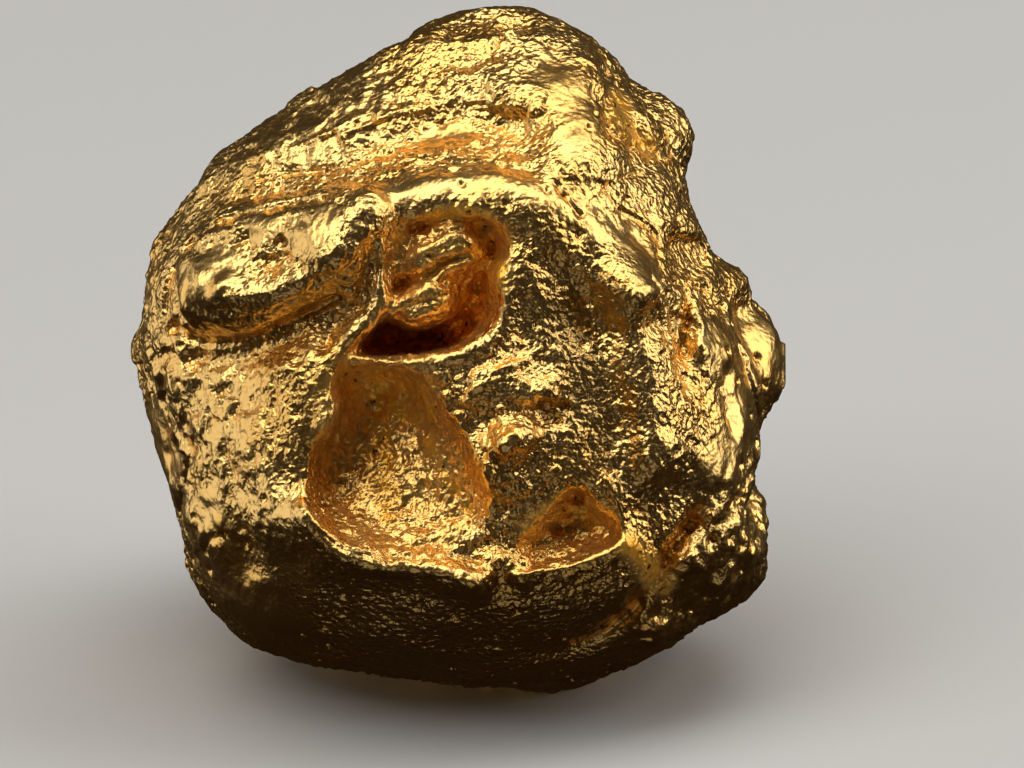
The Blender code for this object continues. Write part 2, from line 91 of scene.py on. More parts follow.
# The camera, in millimetres: its side, its distance, what it sees across there, and its aim from the
# middle of the face. It stands far off, so that near and far forms keep their sizes.
CAMERA_SIDE = (0, 22)
CAMERA_DISTANCE = 400.0
VIEW_WIDTH = 20.48
SENSOR_WIDTH = 36.0
AIM = (0.74, 0.32)
CLIP_START = 0.001  # metres
EXPOSURE = -0.3  # stops


# ---------------------------------------------------------------- sides, paths and outlines


def side_axes(side):
    """Right, up and towards-the-viewer vectors of a side seen from (azimuth, elevation)."""
    azimuth, elevation = (math.radians(angle) for angle in side)
    right = np.array((math.cos(azimuth), math.sin(azimuth), 0.0))
    level = np.array((math.sin(azimuth), -math.cos(azimuth), 0.0))
    toward = level * math.cos(elevation) + np.array((0.0, 0.0, math.sin(elevation)))
    return right, np.cross(toward, right), toward


def smooth_curve(points, step, closed=False):
    """Points every step or so along a Catmull-Rom curve through the given ones."""
    points = [np.array(point, float) for point in points]
    if len(points) == 1:
        return np.array(points)
    count = len(points)
    found = []
    for i in range(count if closed else count - 1):
        if closed:
            before, start, end, after = (points[(i + k) % count] for k in (-1, 0, 1, 2))
        else:
            before, start, end, after = (points[min(max(i + k, 0), count - 1)] for k in (-1, 0, 1, 2))
        steps = max(1, math.ceil(np.linalg.norm(end - start) / step))
        for t in np.arange(steps) / steps:
            square = 2 * before - 5 * start + 4 * end - after
            cube = 3 * start - before - 3 * end + after
            found.append(0.5 * (2 * start + (end - before) * t + square * t**2 + cube * t**3))
    if not closed:
        found.append(points[-1])
    return np.array(found)


def inside(places, outline):
    """Which (right, up) places lie inside a closed outline."""
    found = np.zeros(len(places), bool)
    for start, end in zip(outline, np.roll(outline, -1, axis=0)):
        crosses = (start[1] > places[:, 1]) != (end[1] > places[:, 1])
        with np.errstate(divide="ignore", invalid="ignore"):
            at = start[0] + (places[:, 1] - start[1]) * (end - start)[0] / (end - start)[1]
        found ^= crosses & (places[:, 0] < at)
    return found


def rim_distance(places, outline):
    """A distance from the rim that is true beside it and rounds off smoothly towards the middle."""
    total = np.zeros(len(places))
    for start, end in zip(outline, np.roll(outline, -1, axis=0)):
        away = places - (start + end) / 2
        total += np.linalg.norm(end - start) / (away**2).sum(axis=1) ** 2
    return np.cbrt(math.pi / 2 / total)


class Skin:
    """The points of the skin while it is worked, with what finds places on it."""

    def __init__(self, obj):
        self.obj = obj
        self.read()

    def read(self):
        mesh = self.obj.data
        points = np.empty(len(mesh.vertices) * 3, np.float32)
        mesh.vertices.foreach_get("co", points)
        self.points = points.reshape(-1, 3).astype(float)
        normals = np.empty(len(mesh.vertices) * 3, np.float32)
        mesh.vertex_normals.foreach_get("vector", normals)
        self.normals = normals.reshape(-1, 3).astype(float)
        self.tree = BVHTree.FromObject(self.obj, bpy.context.evaluated_depsgraph_get())

    def write(self):
        self.obj.data.vertices.foreach_set("co", self.points.astype(np.float32).ravel())
        self.obj.data.update()

    def refresh(self):
        self.write()
        self.read()

    def apply_modifiers(self):
        evaluated = self.obj.evaluated_get(bpy.context.evaluated_depsgraph_get())
        mesh = bpy.data.meshes.new_from_object(evaluated)
        self.obj.modifiers.clear()
        old = self.obj.data
        self.obj.data = mesh
        bpy.data.meshes.remove(old)
        self.read()

    def smoothed(self, steps):
        """Where the points would lie after some steps of smoothing."""
        modifier = self.obj.modifiers.new("soften", "SMOOTH")
        modifier.factor = SMOOTHING_FACTOR
        modifier.iterations = steps
        evaluated = self.obj.evaluated_get(bpy.context.evaluated_depsgraph_get())
        points = np.empty(len(evaluated.data.vertices) * 3, np.float32)
        evaluated.data.vertices.foreach_get("co", points)
        self.obj.modifiers.clear()
        return points.reshape(-1, 3).astype(float)

    def bulge(self, steps):
        """How far each point stands out from the smoothed skin: above 0 on lumps, below it in hollows."""
        return ((self.points - self.smoothed(steps)) * self.normals).sum(axis=1)

    def blunt(self, steps, limit):
        """Wears thin edges back to within a limit of where smoothing would take them."""
        away = self.points - self.smoothed(steps)
        distance = np.maximum(np.linalg.norm(away, axis=1), limit)
        excess = np.where((away * self.normals).sum(axis=1) > 0, 1 - limit / distance, 0)
        self.points -= away * excess[:, None]

    def dropped(self, side, path):
        """The points of a (right, up) path dropped on to the skin from its side."""
        right, up, toward = side_axes(side)
        found = []
        for across, along in path:
            start = right * across + up * along + toward * VIEW_DISTANCE
            hit = self.tree.ray_cast(Vector(start), Vector(-toward))[0]
            if hit is not None:
                found.append(np.array(hit))
        return np.array(found)

    def near_path(self, side, path, radius, hardness=0.0):
        """(indices, weights) of the points within a radius of a path, 1 beside it and 0 at the radius."""
        right, up, toward = side_axes(side)
        samples = self.dropped(side, smooth_curve(path, min(PATH_STEP, radius / 2)))
        basis = np.stack((right, up, toward * DEPTH_SHARE), axis=1)
        low = (samples @ basis).min(axis=0) - radius
        high = (samples @ basis).max(axis=0) + radius
        places = self.points @ basis
        chosen = np.flatnonzero(((places > low) & (places < high)).all(axis=1))
        places = places[chosen]
        nearest = np.full(len(chosen), np.inf)
        for sample in samples @ basis:
            nearest = np.minimum(nearest, ((places - sample) ** 2).sum(axis=1))
        rim = np.clip((np.sqrt(nearest) / radius - hardness) / (1 - hardness), 0, 1)
        return chosen, (1 - rim**2) ** 2

    def stroke(self, side, path, radius, height, hardness=0.0):
        """Raises, or lowers, a round-edged band along a path."""
        chosen, weights = self.near_path(side, path, radius, hardness)
        self.points[chosen] += weights[:, None] * height * side_axes(side)[2]

    def hollow(self, side, outline, depth, wall):
        """Sinks the skin inside a closed outline, with a crisp rim and a round bottom."""
        right, up, toward = side_axes(side)
        places = np.stack((self.points @ right, self.points @ up), axis=1)
        curve = smooth_curve(outline, RIM_STEP, closed=True)
        low, high = curve.min(axis=0), curve.max(axis=0)
        facing = (self.normals @ toward > 0) & (self.points @ toward > 0)
        chosen = np.flatnonzero(facing & ((places > low) & (places < high)).all(axis=1))
        chosen = chosen[inside(places[chosen], curve)]
        rise = 1 - np.clip(rim_distance(places[chosen], curve) / wall, 0, 1)
        self.points[chosen] -= np.sqrt(1 - rise**2)[:, None] * depth * toward

    def weight_of(self, bands):
        """The most that any of some (side, path, radius, hardness) bands weighs at each point."""
        total = np.zeros(len(self.points))
        for side, path, radius, hardness in bands:
            chosen, weights = self.near_path(side, path, radius, hardness)
            facing = self.normals[chosen] @ side_axes(side)[2] > FACING_LIMIT
            total[chosen] = np.maximum(total[chosen], weights * facing)
        return total


# ---------------------------------------------------------------- noise that is the same on every run

TABLE_SIZE = 256
NOISE_SEED, BEAD_SEED, MARK_SEED = 20, 7, 31
dice = np.random.default_rng(NOISE_SEED)
SHUFFLE = dice.permutation(TABLE_SIZE)
GRADIENTS = dice.normal(size=(TABLE_SIZE, 3))
GRADIENTS /= np.linalg.norm(GRADIENTS, axis=1)[:, None]
OFFSETS = dice.random((TABLE_SIZE, 3))
CHANCES = dice.random(TABLE_SIZE)
NOISE_GAIN = 1.6
# How much finer each layer of noise is, which isn't 2 so that no layers line up, and its seed's step.
FRACTAL_STEP, FRACTAL_SEED_STEP = 2.03, 17
CREST_STEP, CREST_SEED_STEP = 2.1, 31
FACET_SHARPNESS = 14.0
FAINTEST_FACET = 1e-9  # keeps the weights of facets above nothing


def cell_number(cells, seed):
    """A number under TABLE_SIZE for each whole-number cell."""
    found = np.full(len(cells), seed % TABLE_SIZE)
    for axis in range(3):
        found = SHUFFLE[(found + cells[:, axis]) % TABLE_SIZE]
    return found


def noise(places, seed):
    """Smooth noise from about -1 to 1 that changes over a distance of 1."""
    cells = np.floor(places).astype(np.int64)
    share = places - cells
    fade = share**3 * (share * (share * 6 - 15) + 10)
    total = np.zeros(len(places))
    for corner in itertools.product((0, 1), repeat=3):
        weights = np.prod(np.where(corner, fade, 1 - fade), axis=1)
        slopes = GRADIENTS[cell_number(cells + corner, seed)]
        total += weights * ((share - corner) * slopes).sum(axis=1)
    return total * NOISE_GAIN


def fractal(places, seed, octaves=3):
    """Noise with finer noise on it."""
    total = np.zeros(len(places))
    for octave in range(octaves):
        total += noise(places * FRACTAL_STEP**octave, seed + octave * FRACTAL_SEED_STEP) / 2**octave
    return total


def crests(places, seed, octaves=2):
    """Noise folded into sharp crests, from 0 in the valleys to 1 on the crests."""
    total = np.zeros(len(places))
    weight = 0.0
    for octave in range(octaves):
        layer = noise(places * CREST_STEP**octave, seed + octave * CREST_SEED_STEP)
        total += (1 - np.abs(layer)) ** 2 / 2**octave
        weight += 1 / 2**octave
    return total / weight


def dents(places, seed, share=1.0):
    """Round dents one to a cell, from 0 between them to 1 at their middles, in a share of the cells."""
    cells = np.floor(places).astype(np.int64)
    best = np.full(len(places), np.inf)
    for step in itertools.product((-1, 0, 1), repeat=3):
        number = cell_number(cells + step, seed)
        away = ((cells + step + OFFSETS[number] - places) ** 2).sum(axis=1)
        away[CHANCES[number] > share] = np.inf
        best = np.minimum(best, away)
    return np.clip(1 - best, 0, 1)


def facets(places, seed):
    """Flats one to a cell, each tilted its own way, with creases and steps between them."""
    cells = np.floor(places).astype(np.int64)
    total = np.zeros(len(places))
    weight = np.full(len(places), FAINTEST_FACET)
    for step in itertools.product((-1, 0, 1), repeat=3):
        number = cell_number(cells + step, seed)
        away = places - (cells + step + OFFSETS[number])
        share = np.exp(-FACET_SHARPNESS * (away**2).sum(axis=1))
        total += share * (away * GRADIENTS[number]).sum(axis=1)
        weight += share
    return total / weight


def along(points, direction, length, width):
    """Places to read noise at, so that it is drawn out along a direction."""
    direction = np.array(direction, float) / np.linalg.norm(direction)
    part = points @ direction
    return (points - part[:, None] * direction) / width + (part / length)[:, None] * direction


# ---------------------------------------------------------------- fine forms of the skin

# Hollows cut crisply again where the solid only has their broad shape: side, outline, depth and wall.
CRISP_HOLLOWS = (
    # the eye-shaped dimple over the cheek
    (FACE, ((3.78, 2.52), (3.74, 3.06), (4.00, 3.28), (4.46, 3.24), (4.62, 2.86), (4.50, 2.46),
            (4.12, 2.38)), 0.14, 0.12),
    # the ring-shaped mark and the deep little pit on the root of the thumb
    (FACE, ((-3.72, 3.50), (-3.60, 3.66), (-3.34, 3.64), (-3.26, 3.50), (-3.40, 3.36), (-3.62, 3.36)),
     0.06, 0.05),
    (FACE, ((-3.94, 3.10), (-3.86, 3.22), (-3.72, 3.20), (-3.68, 3.06), (-3.82, 3.00)), 0.12, 0.08),
    # the diamond-shaped notch at the left of the pocket
    (FACE, ((-3.74, 0.84), (-3.56, 1.04), (-3.38, 0.94), (-3.40, 0.74), (-3.60, 0.66)), 0.14, 0.10),
    # the holes at the back of the small pit
    (FACE, ((1.84, -1.96), (1.92, -1.80), (2.12, -1.80), (2.18, -1.96), (2.02, -2.08)), 0.22, 0.10),
    (FACE, ((1.50, -2.56), (1.58, -2.46), (1.72, -2.50), (1.72, -2.64), (1.58, -2.68)), 0.16, 0.08),
)  # fmt: skip

# Ridges above the skin and grooves below it: side, path, radius, height.
FORMS = (
    # the bright ledge between the pocket and the bowl
    (FACE, ((-2.44, 0.78), (-1.8, 0.86), (-1.1, 0.86), (-0.7, 0.98), (-0.1, 1.12)), 0.12, 0.12),
    (FACE, ((-0.1, 1.12), (0.34, 1.62), (0.34, 2.0), (0.5, 2.4)), 0.12, 0.10),
    # the pebble: a ridge slants over it, with a groove above and a rim below
    (FACE, ((-1.60, 1.74), (-1.40, 1.98), (-0.95, 2.24), (-0.56, 2.52), (-0.2, 2.64)), 0.13, 0.15),
    (FACE, ((-1.45, 2.30), (-1.0, 2.48), (-0.55, 2.74), (-0.15, 2.86)), 0.16, -0.18),
    (FACE, ((-1.30, 2.82), (-0.90, 3.00), (-0.4, 3.22), (0.0, 3.12)), 0.12, 0.12),
    (FACE, ((-1.10, 3.22), (-0.7, 3.42), (-0.2, 3.44)), 0.10, 0.08),
    (FACE, ((-1.20, 1.88), (-0.80, 2.02), (-0.40, 2.14)), 0.10, -0.10),
    (FACE, ((-1.30, 1.62), (-0.90, 1.70), (-0.42, 1.84)), 0.09, 0.09),
    (FACE, ((-0.9, 2.86), (-0.7, 2.66)), 0.09, -0.10),
    # the sloping foot of the pocket's right wall
    (FACE, ((0.34, 3.10), (0.28, 2.40), (0.04, 1.80)), 0.42, 0.40),
    # the fold at the left of the pocket, with a groove on its outer side
    (FACE, ((-1.82, 3.1), (-1.84, 2.5), (-1.92, 1.85), (-2.3, 1.42), (-2.62, 1.0), (-2.86, 0.3)),
     0.13, 0.10),
    (FACE, ((-2.12, 3.0), (-2.18, 2.4), (-2.3, 1.9), (-2.7, 1.5), (-3.0, 1.0)), 0.20, -0.12),
    # the lip of the bowl
    (FACE, ((-2.86, 0.2), (-2.84, -0.3), (-3.1, -0.9), (-3.36, -1.6), (-3.34, -2.3)), 0.13, 0.09),
    (FACE, ((-3.34, -2.30), (-2.7, -2.96), (-1.8, -3.26), (-0.8, -3.34), (-0.1, -3.66)), 0.40, 0.08),
    (FACE, ((-3.26, -2.30), (-2.5, -2.86), (-1.5, -3.00), (-0.5, -3.00), (0.2, -2.66)), 0.12, 0.08),
    (FACE, ((0.34, -2.3), (0.36, -1.9), (0.05, -1.1), (-0.2, -0.4)), 0.13, 0.06),
    # knobs on the hill
    (FACE, ((1.30, 0.22), (1.48, 0.10)), 0.20, 0.14),
    (FACE, ((0.98, 0.36),), 0.13, 0.10),
    (FACE, ((0.62, -0.86), (0.82, -0.62)), 0.20, 0.15),
    (FACE, ((1.0, -0.98),), 0.14, 0.12),
    (FACE, ((0.30, -1.55), (0.1, -1.3)), 0.18, 0.12),
    (FACE, ((-0.14, 0.02), (0.1, 0.26)), 0.16, 0.12),
    (FACE, ((0.62, -0.38), (0.5, -0.2)), 0.14, 0.10),
    (FACE, ((0.40, 0.60), (0.9, 0.74), (1.3, 1.0)), 0.12, 0.10),
    (FACE, ((1.1, -0.2), (1.8, -0.1)), 0.18, -0.12),
    (FACE, ((0.25, -0.62), (0.5, -1.25)), 0.14, -0.12),
    # the small pit's straight lip and thin side ridge
    (FACE, ((0.94, -3.42), (1.6, -3.34), (2.3, -3.14), (2.96, -2.80)), 0.09, 0.13),
    (FACE, ((2.96, -2.80), (2.84, -2.1), (2.56, -1.5)), 0.08, 0.09),
    # the thumb: the crease over it, its lower edge, its sloping underside, the crease under it, the saddle
    # behind its tip, and small marks
    (FACE, ((-6.12, 1.7), (-6.08, 2.3), (-5.72, 3.0), (-5.2, 3.46), (-4.3, 3.74), (-3.0, 3.98)),
     0.13, -0.18),
    (FACE, ((-4.9, 2.14), (-4.2, 2.08), (-3.4, 2.18)), 0.50, 0.14),
    (FACE, ((-5.2, 1.30), (-4.2, 1.34), (-3.1, 1.78)), 0.80, -0.26),
    (FACE, ((-6.0, 1.45), (-5.4, 1.16), (-4.6, 1.18), (-3.6, 1.56), (-2.7, 2.00)), 0.20, -0.28),
    (FACE, ((-5.5, 3.02), (-5.0, 3.1), (-4.5, 3.16)), 0.34, -0.14),
    (FACE, ((-4.1, 2.72), (-3.7, 2.86)), 0.16, -0.10),
    (FACE, ((-5.2, 1.02), (-4.5, 1.1)), 0.14, 0.08),
    # the crease between the face and the left flank
    (FACE, ((-6.2, 0.9), (-6.16, -0.5), (-6.0, -1.8)), 0.18, -0.16),
    # the wedge-shaped notch of the brow
    (FACE, ((1.62, 4.28), (1.80, 4.00), (2.06, 3.66)), 0.08, -0.10),
    (FACE, ((2.14, 3.64), (2.44, 4.04), (2.82, 4.36), (3.3, 4.5)), 0.08, -0.10),
    (FACE, ((2.08, 3.68),), 0.12, -0.10),
    # the edge of the brow's polished patch, and the folds under the dimple
    (FACE, ((2.84, 3.80), (3.38, 3.46), (3.64, 3.14), (3.68, 2.4), (3.9, 2.30)), 0.12, -0.14),
    (FACE, ((3.72, 2.62), (3.86, 2.38), (4.2, 2.32), (4.6, 2.20)), 0.11, -0.16),
    (FACE, ((3.20, 2.08), (3.60, 2.26), (3.9, 2.28)), 0.12, 0.10),
    (FACE, ((3.55, 1.95), (3.62, 1.6), (3.9, 1.35)), 0.22, -0.14),
    (FACE, ((4.16, 2.2), (4.26, 1.75), (4.12, 1.3), (4.2, 0.9)), 0.10, -0.16),
    (FACE, ((4.4, 2.1), (4.5, 1.6), (4.46, 1.1)), 0.14, 0.12),
    (FACE, ((4.86, 2.2), (5.0, 1.6), (5.3, 0.9)), 0.12, -0.14),
    # the crease between the cheek and the ear
    (FACE, ((5.2, 1.3), (5.40, 0.5), (5.56, -0.1), (5.70, -0.6)), 0.16, -0.24),
    # the crown: the edge over the amber hollow, and a split in its front
    (FACE, ((2.62, 6.55), (2.66, 6.0), (2.60, 5.5), (2.75, 5.2), (3.1, 5.0)), 0.18, -0.26),
    (CROWN, ((0.4, 4.05), (0.6, 4.45)), 0.08, -0.08),
    (CROWN, ((-1.5, 3.96), (-0.7, 3.80), (0.2, 3.86), (0.9, 4.08)), 0.30, 0.08),
    # scars across the forehead
    (FACE, ((-4.6, 4.3), (-3.6, 4.5), (-2.6, 4.62), (-1.6, 4.92)), 0.09, -0.08),
    (FACE, ((-3.9, 5.0), (-3.0, 5.3), (-2.2, 5.7)), 0.12, 0.08),
    (FACE, ((-2.6, 5.3), (-1.6, 5.7), (-0.9, 5.8)), 0.14, 0.08),
    (FACE, ((-1.1, 5.10), (-0.2, 5.26), (0.5, 5.40)), 0.34, -0.06),
    # the jaw: its groove, and lumps and pits under it
    (FACE, ((1.9, -4.84), (2.6, -4.6), (3.2, -4.1), (3.74, -3.3), (4.3, -2.4)), 0.13, -0.14),
    (FACE, ((3.3, -4.62), (3.7, -4.5)), 0.24, 0.14),
    (FACE, ((4.1, -3.3), (4.3, -3.05)), 0.20, 0.14),
    (FACE, ((4.9, -3.7), (5.1, -3.4)), 0.20, 0.14),
    (FACE, ((4.6, -2.4), (4.9, -2.0)), 0.20, 0.12),
    (FACE, ((4.5, -4.0),), 0.22, -0.20),
    (FACE, ((3.8, -3.9),), 0.18, -0.20),
    (FACE, ((4.72, -2.75),), 0.16, -0.18),
    (FACE, ((5.3, -2.9),), 0.16, -0.16),
    (FACE, ((3.2, -5.0),), 0.14, -0.14),
    # ridges in the pits of the far sides, and grooves that lead out of them
    (LEFT, ((-3.5, 1.3), (-3.1, 1.7), (-2.8, 2.1)), 0.34, 0.26),
    (LEFT, ((-2.6, 1.2), (-1.9, 0.7)), 0.40, -0.20),
    (LEFT, ((0.1, -2.9), (0.6, -2.3)), 0.28, 0.22),
    (LEFT, ((0.9, -2.0), (1.9, -1.3)), 0.34, -0.22),
    (BACK, ((2.3, 2.7), (3.0, 2.1), (4.0, 1.5)), 0.36, 0.26),
    (BACK, ((-2.7, -1.9), (-1.9, -2.4), (-0.9, -2.4), (-0.2, -3.0)), 0.42, 0.26),
    (TOP, ((-3.9, 1.4), (-3.2, 0.9), (-2.5, 0.8)), 0.30, 0.18),
)  # fmt: skip

# The beads along the rims: their paths, spacing, how far each strays from its place, size, height and
# hardness. They run along the lip under the bowl, up the bowl's right rim, and round the small pit.
BEAD_PATHS = (
    ((-3.20, -2.44), (-2.60, -3.10), (-1.50, -3.34), (-0.50, -3.38), (0.00, -3.70)),
    ((0.00, -3.70), (0.30, -3.40), (0.50, -3.10)),
    ((0.30, -2.20), (0.16, -1.50), (-0.10, -0.80), (-0.50, -0.10), (-0.70, 0.50)),
    ((1.05, -3.20), (1.30, -2.50), (1.80, -1.90), (2.40, -2.10)),
)
BEAD_SPACING = 0.27
BEAD_STRAY = 0.05
BEAD_RADIUS = (0.12, 0.20)
BEAD_HEIGHT = (0.05, 0.12)
BEAD_HARDNESS = 0.2

# Marks scattered over the far sides: how many, the sides they are seen from, how far from the middle they
# start, and the ranges of their length, radius and height.
FAR_MARKS = 150
FAR_AZIMUTH = (75, 285)
FAR_ELEVATION = (-20, 70)
FAR_REACH = 5.0
FAR_BEND = 0.15  # of a mark's length
FAR_LENGTH = (0.0, 1.1)
FAR_RADIUS = (0.10, 0.30)
FAR_HEIGHT = (-0.16, 0.12)

# Where wear has polished the metal: side, path, radius and hardness of each band.
POLISHED = (
    (FACE, ((-5.45, 2.35), (-5.1, 2.6)), 0.85, 0.3),
    (FACE, ((-4.2, 3.4), (-3.4, 3.3), (-2.9, 3.6)), 0.55, 0.2),
    (FACE, ((-1.6, 4.1), (0.0, 4.35), (1.4, 4.1), (2.6, 3.4)), 0.55, 0.1),
    (FACE, ((3.0, 3.3), (3.4, 2.8), (3.4, 2.4)), 0.50, 0.3),
    (FACE, ((4.9, 1.2), (5.2, 0.3), (5.2, -0.6), (4.9, -1.4)), 0.85, 0.2),
    (FACE, ((1.5, 6.5), (2.0, 5.9), (2.0, 5.2)), 0.80, 0.2),
    (FACE, ((-0.9, 5.16), (-0.2, 5.3)), 0.34, 0.4),
    (FACE, ((-5.4, -2.2), (-4.9, -3.4), (-4.0, -4.4)), 1.00, 0.2),
    (RIGHT, ((-0.5, 1.0), (1.2, 1.0)), 1.40, 0.2),
    (BACK, ((-3.4, -1.0), (-0.6, 0.3), (2.2, 1.4)), 1.00, 0.2),
    (LEFT, ((-1.0, -1.6), (0.6, -0.8)), 1.60, 0.2),
    (TOP, ((-0.6, 1.4), (1.4, 1.6)), 1.20, 0.2),
)

# Where the metal was hammered by stones, and where it drew out in streaks.
HAMMERED = (
    (FACE, ((-5.3, 0.4), (-5.1, -1.4), (-4.4, -3.0)), 1.70, 0.5),
    (FACE, ((3.6, -4.6), (4.8, -3.6), (5.4, -2.2)), 1.30, 0.5),
    (FACE, ((-4.0, 5.2), (-2.4, 6.0)), 1.30, 0.3),
    (RIGHT, ((-1.5, -2.0), (1.5, -2.4)), 1.80, 0.3),
    (BACK, ((-2.0, -2.6), (2.6, -2.0)), 1.90, 0.3),
    (BACK, ((-1.6, 3.8), (1.6, 4.4)), 1.60, 0.3),
    (LEFT, ((0.4, 3.0), (0.8, 0.6)), 1.50, 0.3),
)
STREAKED = (
    (FACE, ((-5.2, 3.9), (-3.5, 4.6), (-1.6, 5.1), (0.6, 5.5)), 1.30, 0.4),
    (FACE, ((3.2, 4.6), (4.0, 3.9), (4.6, 3.0)), 0.90, 0.4),
    (FACE, ((4.2, 2.2), (4.6, 1.2)), 0.60, 0.2),
    (RIGHT, ((-2.0, 3.6), (0.0, 3.2), (2.0, 3.0)), 1.20, 0.2),
    (TOP, ((-2.4, 1.0), (0.0, 2.6), (2.4, 3.0)), 1.40, 0.2),
    (BACK, ((2.6, 0.2), (4.2, -1.4)), 1.30, 0.2),
)
# The insides of the bowl, the pocket and the small pit, which stayed as they crystallised.
CAVITIES = (
    (FACE, ((-1.9, -0.1), (-1.7, -1.2), (-1.4, -1.9)), 1.60, 0.75),
    (FACE, ((-0.9, 2.9), (-0.6, 2.0), (-1.6, 1.2)), 1.00, 0.60),
    (FACE, ((1.4, -2.7), (2.3, -2.5)), 0.75, 0.50),
)
# Where a film of iron oxide is left: the bowl's top, streaks down it, the pocket's walls and floor, the
# back of the small pit, and the deepest hollows of the right side.
FILMED = (
    (FACE, ((-2.3, 0.40), (-1.7, 0.20), (-1.2, 0.00)), 0.80, 0.55),
    (FACE, ((-1.8, -0.2), (-1.85, -1.2), (-1.70, -2.2)), 0.42, 0.30),
    (FACE, ((-0.9, -0.8), (-0.50, -1.6), (-0.05, -2.2)), 0.26, 0.10),
    (FACE, ((0.35, 3.25), (0.30, 2.50), (0.10, 1.90), (-0.2, 1.4)), 0.55, 0.50),
    (FACE, ((-1.45, 3.3), (-0.6, 3.70), (0.2, 3.60)), 0.22, 0.40),
    (FACE, ((-2.2, 1.05), (-1.2, 1.20), (-0.4, 1.30)), 0.44, 0.40),
    (FACE, ((1.2, -2.55), (1.9, -2.05), (2.5, -2.45)), 0.40, 0.40),
    (FACE, ((2.85, 5.9), (3.00, 5.40), (3.4, 5.00)), 0.45, 0.20),
    (FACE, ((3.1, -2.9), (3.7, -3.6)), 0.40, 0.10),
)

# Where the metal is only crinkled, without larger flats: under the thumb, left of the bowl, right of the
# pocket, the plateau and the chin.
CALM = (
    (FACE, ((-5.0, 1.2), (-4.2, 1.5), (-3.0, 1.8)), 0.70, 0.3),
    (FACE, ((-3.4, 0.6), (-3.6, -0.8), (-3.8, -2.4)), 0.60, 0.3),
    (FACE, ((0.9, 3.0), (1.5, 2.0), (2.4, 0.9), (2.6, -0.6), (2.5, -2.2)), 1.00, 0.4),
    (FACE, ((-4.6, -3.8), (-1.6, -4.6), (2.2, -4.4)), 1.40, 0.5),
)

# The relief on the skin, in millimetres: the size of each pattern, how high it stands, and the seed that
# it is drawn from.
SWELL_SIZE, SWELL_HEIGHT, SWELL_SEED = 0.95, 0.045, 1  # soft unevenness everywhere
FACET_SIZE, FACET_HEIGHT, FACET_SEED = 0.46, 0.090, 10  # tilted flats where stones knocked the metal
CHIP_SIZE, CHIP_HEIGHT, CHIP_SEED = 0.18, 0.050, 11  # smaller ones on them
HACKLE_SIZE, HACKLE_HEIGHT, HACKLE_SEED = 0.30, 0.060, 2  # the torn, crystalline crests of unworn gold
DENT_SIZE, DENT_DEPTH, DENT_SEED = 0.62, 0.048, 4  # round dents
PIT_SPACING, PIT_RADIUS, PIT_DEPTH, PIT_SEED = 0.42, 0.09, 0.09, 5  # pinholes
STREAK_SIZE, STREAK_HEIGHT, STREAK_SEED = (1.10, 0.17), 0.018, 6  # streaks, by length and width
STRIA_SIZE, STRIA_HEIGHT, STRIA_SEED = (0.80, 0.15), 0.060, 8  # growth lines in the cavities
WARP_SIZE, WARP_REACH, WARP_SEED = 0.8, 0.22, 40  # bends the patterns so that their cells don't show
PATCH_SIZE, PATCH_SEED = 1.1, 9  # the relief comes and goes over this distance
PATCH_MEAN, PATCH_SWING, PATCH_LIMITS = 0.75, 0.6, (0.15, 1.2)
PIT_SHARE = 0.35  # of the places that a pinhole could be in
STREAK_HEADING = (1.0, 0.0, 0.35)
STRIA_HEADING = (0.15, 0.1, 1.0)

# What is left of each pattern where the metal is calm, where it is worn, and where no stone hit it.
CALM_SWELL, CALM_FACETS, CALM_CHIPS, CALM_HACKLE = 0.4, 0.25, 0.5, 0.5
WORN_CHIPS, UNHAMMERED_DENTS = 0.2, 0.15
# What facets keep everywhere, and what being unworn and being hammered add to them.
WORN_FACETS, FRESH_FACETS, HAMMERED_FACETS = 0.15, 0.35, 0.5
# What streaks take from the hackle, and cavities from the pinholes.
STREAKED_LOSS, CAVITY_LOSS = 0.6, 0.5

# Steps of smoothing that tell the nugget's lumps and hollows, and the relief's, from its general shape,
# and how far, in millimetres, a lump stands out, a hollow lies back or a crest or crease goes at full
# strength.
BROAD_STEPS, LUMP_RISE, HOLLOW_DROP = 260, 0.12, 0.25
FINE_STEPS, CREST_RISE = 14, 0.02
EDGE_STEPS, EDGE_LIMIT = 220, 0.09  # thin edges are worn back to this many millimetres

# How much each kind of place counts as worn for the relief, and as smooth, sunk or filmed for the finish.
LUMP_WEAR = 0.6
HAMMERED_SMOOTHNESS, CAVITY_SMOOTHNESS, CREST_SMOOTHNESS, CALM_SMOOTHNESS = 0.6, 0.35, 0.3, 0.12
# Hollows and creases count as sunk: painted shade, a deeper tint in the gold's colour, and a little more
# roughness.
HOLLOW_RECESS, CREASE_RECESS = 0.35, 0.25
CAVITY_FILM = 0.4


def lay_skin_over(node):
    """A new piece in the node's place, in millimetres in the face's frame, worked over as a fine mesh."""
    mesh = node.data.copy()
    mesh.materials.clear()
    skin = bpy.data.objects.new("nugget_skin", mesh)
    bpy.context.scene.collection.objects.link(skin)
    to_part = Matrix.Translation(FACE_MIDDLE) @ Matrix.Rotation(-math.radians(FACE_LEAN_DEG), 4, "X")
    mesh.transform(to_part.inverted() @ Matrix.Scale(1 / MM, 4))
    closed = bmesh.new()
    closed.from_mesh(mesh)
    bmesh.ops.remove_doubles(closed, verts=closed.verts, dist=WELD_DISTANCE)
    closed.to_mesh(mesh)
    closed.free()
    rounded = skin.modifiers.new("rounded", "SUBSURF")
    rounded.levels = rounded.render_levels = SKIN_SUBDIVISIONS
    even = skin.modifiers.new("even", "REMESH")
    even.mode = "VOXEL"
    even.voxel_size = SKIN_VOXEL
    softer = skin.modifiers.new("softer", "SMOOTH")
    softer.factor = SMOOTHING_FACTOR
    softer.iterations = SKIN_SOFTENING
    return skin, to_part


